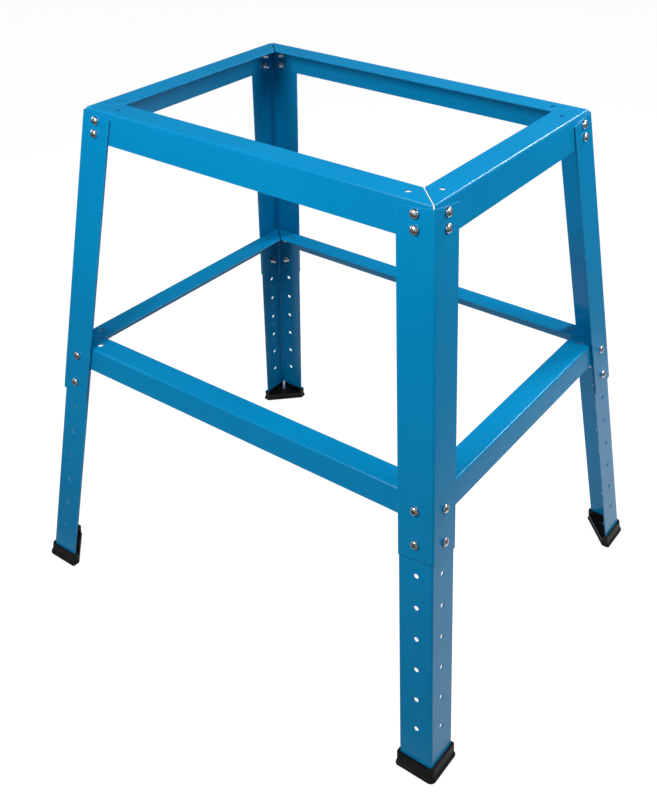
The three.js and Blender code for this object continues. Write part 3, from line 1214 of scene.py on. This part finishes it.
@dataclass(frozen=True)
class FrameScrews:
    """The screws that hold the frame together, each with its nut."""

    stand: Stand
    hardware: Hardware
    spin_step: float = math.radians(137.5)
    nut_spin: float = math.radians(23)

    def build(self, paintbox: Paintbox) -> None:
        """Sets a screw and a nut at every bolted joint.

        Args:
            paintbox: The finishes.
        """
        stand, hardware = self.stand, self.hardware
        screw = hardware.screw("frame_screw", hardware.frame_length, stand.seat_gap)
        nut = hardware.nut("frame_nut")
        two_sheets = stand.layer + stand.work.sheet
        grips = {
            "rail_bolt_upper": (stand.rail_bolts[0], two_sheets),
            "rail_bolt_lower": (stand.rail_bolts[1], two_sheets),
            "stretcher_bolt": (stand.stretcher_bolt, two_sheets + stand.layer),
            "leg_bolt": (stand.stretcher_bolt + stand.hole_pitch, two_sheets),
        }
        # Every screw and nut stops at another turn than its neighbours.
        for count, (corner, prefix, flange) in enumerate(product(Corner, grips, (0, 1))):
            place, grip = grips[prefix]
            point, outward = stand.bolt(flange, place)
            seat = self.seat(corner.mirror @ point, corner.mirror.to_3x3() @ outward)
            under = Matrix.Translation(UP * -(grip + stand.seat_gap + hardware.nut_height))
            turned = seat @ Matrix.Rotation(self.spin_step * count, 4, "Z")
            nut_turned = seat @ under @ Matrix.Rotation(self.nut_spin * count, 4, "Z")
            node = f"{prefix}_{corner.label}_on_{corner.facing(flange)}"
            paintbox.set_copy(screw, turned, Slot.ZINC, FRAME_BODY, node, "screw")
            paintbox.set_copy(nut, nut_turned, Slot.ZINC, FRAME_BODY, node, "nut")
        discard(screw, nut)

    def seat(self, point: Vector, outward: Vector) -> Matrix:
        """Matrix that stands a fastener on a point along a direction."""
        return Matrix.Translation(point) @ outward.to_track_quat("Z", "Y").to_matrix().to_4x4()


@dataclass(frozen=True)
class Feet:
    """Moulded three-cornered feet, each with its screw and nut."""

    stand: Stand
    legs: Legs
    hardware: Hardware
    height: float = 0.022
    wall: float = 0.0035
    inner_wall: float = 0.003
    block_height: float = 0.014
    lip: float = 0.006
    corner_round: float = 0.007
    corner_segments: int = 6
    edge_round: float = 0.002
    edge_segments: int = 4
    bead: float = 0.00185
    bead_height: float = 0.0065
    bead_segments: int = 4
    bead_angle: float = math.radians(60)
    bolt_inset: float = 0.017
    recess: float = 0.006
    recess_width: float = 0.014
    bore: float = 0.007
    past: float = 0.005
    voxel: float = 0.0005
    smoothing: float = 0.5
    smoothing_passes: int = 3
    kept_faces: float = 0.16
    spin_step: float = 1.0

    @property
    def frame(self) -> Matrix:
        """Level frame of the front left foot, under the lower leg's outer corner."""
        x, y = (-self.stand.half(axis, self.stand.height, 0.0) for axis in (0, 1))
        return Matrix.Translation((x, y, 0))

    @property
    def reach(self) -> Vector:
        """How far the leg's two flanges reach in the foot."""
        widths = [self.legs.lower_flange / math.sqrt(1 - lean**2) for lean in self.stand.flange_leans]
        return Vector((*widths, 0))

    @property
    def bolt_axis(self) -> Vector:
        """Where the foot's screw stands on the floor, in the foot's frame."""
        inset = Vector((self.bolt_inset, self.bolt_inset, 0))
        return inset + Vector((*self.stand.splay, 0)) * self.block_height

    def lean(self, piece: Piece, height: float) -> None:
        """Leans an upright body with the leg by moving its top.

        Args:
            piece: The body, standing at floor level.
            height: Its height.
        """
        with editing(piece):
            pick(piece, lambda at: at.z > height / 2)
            bpy.ops.transform.translate(value=Vector((*self.stand.splay, 0)) * height)

    def prism(self, grow: float, height: float) -> Piece:
        """Models the three-cornered outline as a leaning body.

        Args:
            grow: Distance that the outline is grown by.
            height: Height of the body.

        Returns:
            The body.
        """
        out = self.wall + self.stand.seat_gap
        far = self.reach + Vector((1, 1, 0)) * out
        low = Vector((-out - grow, -out - grow, 0))
        high = Vector((far.x + grow, far.y + grow, height))
        piece = block("foot_body", low, high)
        slope = Vector((far.y - self.lip, far.x - self.lip, 0)).normalized()
        trim(piece, Vector((far.x, self.lip, 0)) + slope * grow, slope)
        round_upright_edge(piece, low, self.corner_round + grow, self.corner_segments)
        for end in (Vector((high.x, low.y)), Vector((low.x, high.y))):
            round_upright_edge(piece, end, self.edge_round + grow, self.edge_segments)
        self.lean(piece, height)
        return piece

    def leg_slot(self) -> Piece:
        """Models the space that a lower leg takes in its foot.

        Returns:
            The tool, in the foot's frame.
        """
        stand, gap = self.stand, self.stand.seat_gap
        width = self.legs.lower_flange + gap + gap / math.tan(stand.fold / 2)
        loose = SheetWork(sheet=stand.work.sheet + 2 * gap, bend_inside=stand.work.bend_inside - gap)
        bottom = -self.legs.lower_bottom - gap
        top = bottom + self.height * stand.per_drop + self.past
        tool = loose.angle("leg_slot", (width, width), stand.fold, (bottom, top))
        return moved(tool, self.frame.inverted() @ stand.leg_frame(gap))

    def body(self) -> Piece:
        """Moulds the front left foot in its own frame.

        Returns:
            The foot.
        """
        piece = self.prism(0.0, self.height)
        bead = self.prism(self.bead, self.bead_height)
        modify(
            bead,
            "BEVEL",
            width=self.bead,
            segments=self.bead_segments,
            limit_method="ANGLE",
            angle_limit=self.bead_angle,
        )
        combine(piece, bead, Combining.JOIN)
        shelf = self.stand.layer + self.inner_wall
        far = self.reach + Vector((1, 1, 0)) * (self.wall + self.past)
        rise = Vector((*self.stand.splay, 1)) * self.block_height
        pocket = block("pocket", (shelf, shelf, 0), (far.x, far.y, self.height))
        self.lean(pocket, self.height)
        combine(piece, moved(pocket, Matrix.Translation(rise)), Combining.CUT)
        combine(piece, self.leg_slot(), Combining.CUT)
        base = self.bolt_axis - UP * self.past
        for width, top in ((self.bore, self.height), (self.recess_width, self.recess)):
            combine(piece, rod("bore", width, base, self.bolt_axis + UP * top), Combining.CUT)
        # Remeshing and smoothing blend the cut edges as a mould does; flat faces then need few triangles.
        modify(piece, "REMESH", mode="VOXEL", voxel_size=self.voxel)
        modify(piece, "SMOOTH", factor=self.smoothing, iterations=self.smoothing_passes)
        modify(piece, "DECIMATE", ratio=self.kept_faces)
        return piece

    def build(self, paintbox: Paintbox) -> None:
        """Sets a foot with its screw and nut at each corner.

        Args:
            paintbox: The finishes.
        """
        hardware, gap = self.hardware, self.stand.seat_gap
        foot = moved(self.body(), self.frame)
        screw = hardware.screw("foot_screw", hardware.foot_length, gap)
        nut = hardware.nut("foot_hex_nut")
        axis = self.frame @ self.bolt_axis
        head_down = Matrix.Translation(UP * self.recess) @ Matrix.Rotation(math.pi, 4, "X")
        nut_up = Matrix.Translation(UP * (self.block_height + gap))
        for number, corner in enumerate(Corner):
            body = f"lower_leg_{corner.label}"
            place = Matrix.Translation(corner.mirror @ axis)
            spun = Matrix.Rotation(self.spin_step * number, 4, "Z")
            for prefix, part, made, slot, ending in (
                ("foot", foot, corner.mirror, Slot.RUBBER, "moulded"),
                ("foot_bolt", screw, place @ head_down @ spun, Slot.ZINC, "zinc"),
                ("foot_nut", nut, place @ nut_up @ spun, Slot.ZINC, "zinc"),
            ):
                paintbox.set_copy(part, made, slot, body, f"{prefix}_{corner.label}", ending)
        discard(foot, screw, nut)


@dataclass(frozen=True)
class Lamp:
    """A square soft light."""

    name: str
    place: Triple
    size: float
    power: float
    target: Triple = (0.0, 0.0, 0.5)

    def build(self) -> None:
        """Hangs the light and turns it to its target."""
        data = bpy.data.lights.new(self.name, "AREA")
        data.shape = "SQUARE"
        data.size = self.size
        data.energy = self.power
        lamp = bpy.data.objects.new(self.name, data)
        bpy.context.scene.collection.objects.link(lamp)
        lamp.location = self.place
        look = Vector(self.target) - Vector(self.place)
        lamp.rotation_euler = look.to_track_quat("-Z", "Y").to_euler()


@dataclass(frozen=True)
class Studio:
    """Pale floor, soft light and the camera."""

    floor_size: float = 24.0
    floor_grain: float = 0.002
    floor_unseen: Colour = (0.18, 0.18, 0.18, 1.0)
    floor_seen: Colour = (0.8, 0.8, 0.8, 1.0)
    floor_glow: float = 0.84
    glow_strength: float = 1.13
    paper_middle: Pair = (0.0, 0.35)
    paper_half: Pair = (0.7, 0.65)
    paper_soft: float = 0.1
    white: Colour = (1.0, 1.0, 1.0, 1.0)
    ceiling: Colour = (0.05, 0.05, 0.05, 1.0)
    wall_height: Pair = (0.02, 0.16)
    ambient: Colour = (0.15, 0.155, 0.16, 1.0)
    camera_place: Triple = (0.81961, -1.09485, 1.24585)
    camera_target: Triple = (0.02729, 0.01941, 0.43404)
    camera_roll: float = 0.0045
    lens: float = 47.114
    shift: Pair = (-0.0406, -0.0888)
    lamps: tuple[Lamp, ...] = (
        Lamp("front_key", (-0.12, -1.15, 1.45), 0.5, 14.0),
        Lamp("front_fill", (0.9, -1.6, 1.5), 1.0, 1.5),
        Lamp("right_key", (1.15, 0.2, 1.5), 0.6, 11.0),
        Lamp("left_fill", (-1.4, -0.4, 1.2), 0.7, 4.0),
        Lamp("rim", (0.43, 1.26, 1.585), 0.44, 15.0, (0.2, 0.5, 0.0)),
    )

    def build(self) -> None:
        """Sets up the floor, the world, the lamps and the camera."""
        self.floor()
        self.world()
        for lamp in self.lamps:
            lamp.build()
        self.camera()
        bpy.context.scene.view_settings.view_transform = "Standard"

    def floor(self) -> None:
        """Lays the floor, which glows pale to the camera and keeps the shadow."""
        bpy.ops.object.select_all(action="DESELECT")
        bpy.ops.mesh.primitive_plane_add(size=self.floor_size)
        floor = taken("studio_floor")
        material, graph = new_graph("studio_floor")
        place = graph.place()
        pale = graph.mix(graph.noise(place, self.floor_grain), self.floor_seen, self.white)
        straight, mirrored = self.rays(graph)
        seen = straight + mirrored * self.paper(graph, place)
        colour = graph.mix(seen, self.floor_unseen, pale)
        matt = graph.signal("ShaderNodeBsdfDiffuse", None, {"Color": colour})
        shine = {"Color": self.white, "Strength": self.glow_strength}
        glow = graph.signal("ShaderNodeEmission", None, shine)
        share = seen * self.floor_glow
        graph.surface(graph.signal("ShaderNodeMixShader", None, {0: share, 1: matt, 2: glow}))
        floor.data.materials.append(material)

    def paper(self, graph: Graph, place: Signal) -> Signal:
        """Mask of the white paper under the stand, the part of the floor that shines in reflections.

        Args:
            graph: The floor's graph.
            place: Place on the floor.

        Returns:
            1 on the paper and 0 on the floor round it.
        """
        mask = 1.0
        for axis, middle, half in zip("XY", self.paper_middle, self.paper_half):
            along = graph.signal("ShaderNodeSeparateXYZ", None, {0: place}, output=axis)
            off = graph.ramp(abs(along - middle), half - self.paper_soft, half + self.paper_soft)
            mask = mask * (1.0 - off)
        return mask

    def rays(self, graph: Graph) -> tuple[Signal, Signal]:
        """Masks of the rays that see the backdrop.

        Args:
            graph: The graph that reads them.

        Returns:
            Masks of the rays that see it straight, and of those that see it mirrored.
        """
        path = graph.node("ShaderNodeLightPath")
        straight, mirrored = (Signal(graph, path.outputs[f"Is {ray} Ray"]) for ray in ("Camera", "Glossy"))
        return straight, mirrored

    def world(self) -> None:
        """Makes a white backdrop, which reflections show under a dim ceiling, and a dim surround light."""
        world = bpy.data.worlds.new("studio")
        bpy.context.scene.world = world
        world.use_nodes = True
        graph = Graph(world.node_tree)
        direction = graph.signal("ShaderNodeTexCoord", output="Generated")
        height = graph.signal("ShaderNodeSeparateXYZ", None, {0: direction}, output="Z")
        straight, mirrored = self.rays(graph)
        wall = graph.mix(mirrored * graph.ramp(height, *self.wall_height), self.white, self.ceiling)
        dim = graph.signal("ShaderNodeBackground", None, {"Color": self.ambient})
        pale = graph.signal("ShaderNodeBackground", None, {"Color": wall})
        backdrop = graph.signal("ShaderNodeMixShader", None, {0: straight + mirrored, 1: dim, 2: pale})
        graph.node("ShaderNodeOutputWorld", None, {"Surface": backdrop})

    def camera(self) -> None:
        """Stands the camera where the photograph was taken."""
        data = bpy.data.cameras.new("camera")
        data.lens = self.lens
        data.shift_x, data.shift_y = self.shift
        camera = bpy.data.objects.new("camera", data)
        bpy.context.scene.collection.objects.link(camera)
        place = Vector(self.camera_place)
        look = (Vector(self.camera_target) - place).to_track_quat("-Z", "Y")
        camera.location = place
        camera.rotation_euler = (look @ Quaternion((0, 0, 1), self.camera_roll)).to_euler()
        bpy.context.scene.camera = camera


def main() -> None:
    """Builds the stand piece by piece, then the studio round it."""
    logging.basicConfig(level=logging.INFO, format="%(message)s")
    stand = Stand(SheetWork())
    paintbox = Paintbox()
    hardware = Hardware()
    legs = Legs(stand)
    rails = SideAngles(
        stand,
        "top_rail",
        drop=0.0,
        outset=0.0,
        flange=0.0365,
        web=0.045,
        bolts=stand.rail_bolts,
        hole_from_edge=0.018,
        hole_from_corner=0.046,
    )
    stretchers = SideAngles(
        stand,
        "stretcher",
        drop=stand.stretcher_drop,
        outset=-stand.layer,
        flange=0.0355,
        web=stand.stretcher_web,
        bolts=(stand.stretcher_bolt,),
        hole_from_edge=0.016,
        hole_from_corner=0.048,
    )
    for assembly in (rails, stretchers, legs, FrameScrews(stand, hardware), Feet(stand, legs, hardware)):
        assembly.build(paintbox)
    Studio().build()


if __name__ == "__main__":
    main()
